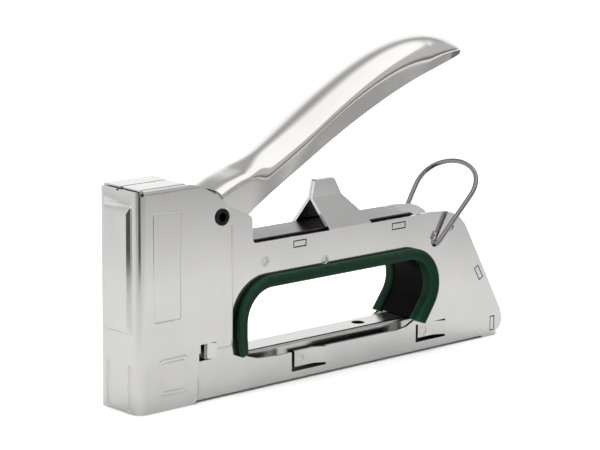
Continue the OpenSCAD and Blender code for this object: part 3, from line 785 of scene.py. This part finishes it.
PUNCHED = ("nose_cover", "left_side_plate", "right_side_plate", "magazine_channel")

EDGES = {  # rounding of each reworked node's edges, in mm
    "nose_cover": 0.2, "left_side_plate": 0.1, "right_side_plate": 0.1,
    "magazine_channel": 0.12, "staple_rail": 0.12, "end_cap": 0.4, "latch_button": 0.25,
    "nose_block": 0.2, "wear_plate": 0.12, "driver_guide": 0.2, "bumper_bracket": 0.2,
    "bumper": 0.6, "front_spring_rest": 0.12, "rear_spring_rest": 0.12, "spacer_pins": 0.12,
    "back_strap": 0.12, "rear_bracket": 0.12, "lift_arm": 0.3, "lift_arm_pin": 0.15,
    "driver": 0.12, "pusher": 0.15, "pivot_pin": 0.18, "pivot_sleeve": 0.15,
    "spring_stop_pin": 0.15, "guide_rod": 0.15}

for part, rounding in EDGES.items():
    reworked(part, rounding)
make_cover_embossing()
make_grip_trim()
make_lever_shell()
make_lever_cheeks()
make_lock_loop()
make_leaf_springs()
make_coil_springs()
make_return_spring()


# ---- studio ----

# Painted shade in reflections: the shade sheet dims the floor's reflection by BASE_DIM everywhere, more away
# from SHADE_CENTRE, and most in two dark sectors, the first in the heading of the camera's side.
SHADE_CENTRE = (0.09, 0.0)
BASE_DIM = 0.45
DARK_HEADING = (-0.668, -0.743)
DARK_SECTORS = (  # heading, distances over which it darkens, cosines at its edges, and darkness
    (DARK_HEADING, (0.15, 0.27), (0.92, 0.97), 0.96),
    ((0.995, 0.1), (0.28, 0.36), (0.90, 0.96), 0.9))
PANEL_LEAN = 0.35
SOFTBOXES = {  # place, target, size, power and colour
    "key_box": ((0.0, -0.50, 1.0), (0.05, 0.0, 0.05), (0.8, 0.7), 2.1, (1.0, 0.985, 0.95)),
    "pool": ((0.03, 0.0, 0.7), (0.03, 0.0, 0.0), (0.3, 0.3), 2.9, (1, 1, 1)),
    "back_fill": ((0.7, 1.0, 1.5), (0.9, 1.2, 0.0), (1.8, 1.8), 22.0, (1, 1, 1))}


def staged_sheet(name, radius, height, material):
    """A round sheet flat on the ground, which isn't part of the object."""
    mesh = bpy.data.meshes.new(name)
    bm = bmesh.new()
    bmesh.ops.create_circle(bm, cap_ends=True, segments=96, radius=radius)
    bm.to_mesh(mesh)
    bm.free()
    mesh.materials.append(material)
    sheet = linked(name, mesh)
    sheet.location.z = height
    return sheet


def floor_material():
    material, n = new_material("floor_paper")
    fibre = n.noise((900, 900, 900), detail=2.0)
    surface(n, rgba((0.92, 0.92, 0.92)), 0.9, fibre, 0.00002, strength=0.3)
    return material


def along(n, x, y, heading):
    """How far a place or direction reaches along a heading."""
    return n.math("ADD", n.math("MULTIPLY", x, heading[0]), n.math("MULTIPLY", y, heading[1]))


def distance(n, x, y):
    flat = n.add("ShaderNodeCombineXYZ", {0: x, 1: y}).outputs[0]
    return n.add("ShaderNodeVectorMath", {0: flat}, operation="LENGTH").outputs["Value"]


def shade_cover(n, x, y):
    """How much painted shade covers the floor's reflection at (x, y)."""
    away = distance(n, n.math("SUBTRACT", x, SHADE_CENTRE[0]), n.math("SUBTRACT", y, SHADE_CENTRE[1]))
    front = n.remap(y, -0.10, 0.02, 1.0, 0.0)
    cover = n.math("ADD", BASE_DIM, n.math("MULTIPLY", n.remap(away, 0.16, 0.48, 0.0, 0.26), front))
    far = distance(n, x, y)
    for heading, distances, edges, darkness in DARK_SECTORS:
        facing = n.remap(n.math("DIVIDE", along(n, x, y, heading), far), *edges)
        dark = n.math("MULTIPLY", n.remap(far, *distances, 0.0, darkness), facing)
        cover = n.math("MAXIMUM", cover, dark)
    return cover


def shade_material():
    """Painted shade seen only in reflections: a black sheet over the floor that darkens the floor's
    reflection away from the object.
    """
    material, n = new_material("painted_reflection_shade")
    split = n.add("ShaderNodeSeparateXYZ", {0: n.add("ShaderNodeTexCoord").outputs["Object"]})
    clear = n.add("ShaderNodeBsdfTransparent")
    # The painted shade's colour, mixed over a clear surface by shade_cover.
    black = n.add("ShaderNodeEmission", {"Color": rgba((0.02, 0.02, 0.022)), "Strength": 1.0})
    mixed = n.add("ShaderNodeMixShader", {
        0: shade_cover(n, split.outputs[0], split.outputs[1]), 1: clear.outputs[0], 2: black.outputs[0]})
    n.add("ShaderNodeOutputMaterial", {"Surface": mixed.outputs[0]})
    return material


def room_light(n, x, y, high):
    """The room's brightness in a direction: dim in front, bright low behind, with panels above."""
    back = n.remap(y, -0.1, 0.3)
    lens_side = n.remap(along(n, x, y, DARK_HEADING), 0.90, 0.97, 1.0, 0.1)
    leaning = n.math("SUBTRACT", high, n.math("MULTIPLY", x, PANEL_LEAN))
    panel = n.remap(leaning, 0.50, 0.58, 0.0, 0.65)
    near_side = n.math("ADD", n.math("MULTIPLY", n.remap(high, 0.0, 0.22, 0.06, 0.55), lens_side), panel)
    far_side = n.math("ADD", n.remap(high, 0.42, 0.60, 1.08, 0.42), n.remap(high, 0.68, 0.82, 0.0, 0.75))
    return n.math("ADD", n.math("MULTIPLY", back, far_side),
                  n.math("MULTIPLY", n.math("SUBTRACT", 1.0, back), near_side))


def add_world():
    world = bpy.data.worlds.new("studio")
    world.use_nodes = True
    bpy.context.scene.world = world
    n = Nodes(world.node_tree)
    way = n.add("ShaderNodeSeparateXYZ", {0: n.add("ShaderNodeTexCoord").outputs["Generated"]})
    sky = n.add("ShaderNodeBackground", {"Color": rgba((1, 1, 1)), "Strength": room_light(n, *way.outputs)})
    n.add("ShaderNodeOutputWorld", {"Surface": sky.outputs[0]})


def add_studio():
    staged_sheet("floor", 6.0, -0.0001, floor_material())
    # Painted shade: a black sheet over the floor, seen only in reflections, not by the camera, in diffuse
    # light or in shadows.
    shade = staged_sheet("painted_reflection_shade", 1.2, 0.0001, shade_material())
    shade.visible_camera = False
    shade.visible_diffuse = False
    shade.visible_transmission = False
    shade.visible_shadow = False
    add_world()
    for name, settings in SOFTBOXES.items():
        add_softbox(name, *settings)
    bpy.context.scene.view_settings.view_transform = "Standard"


add_studio()
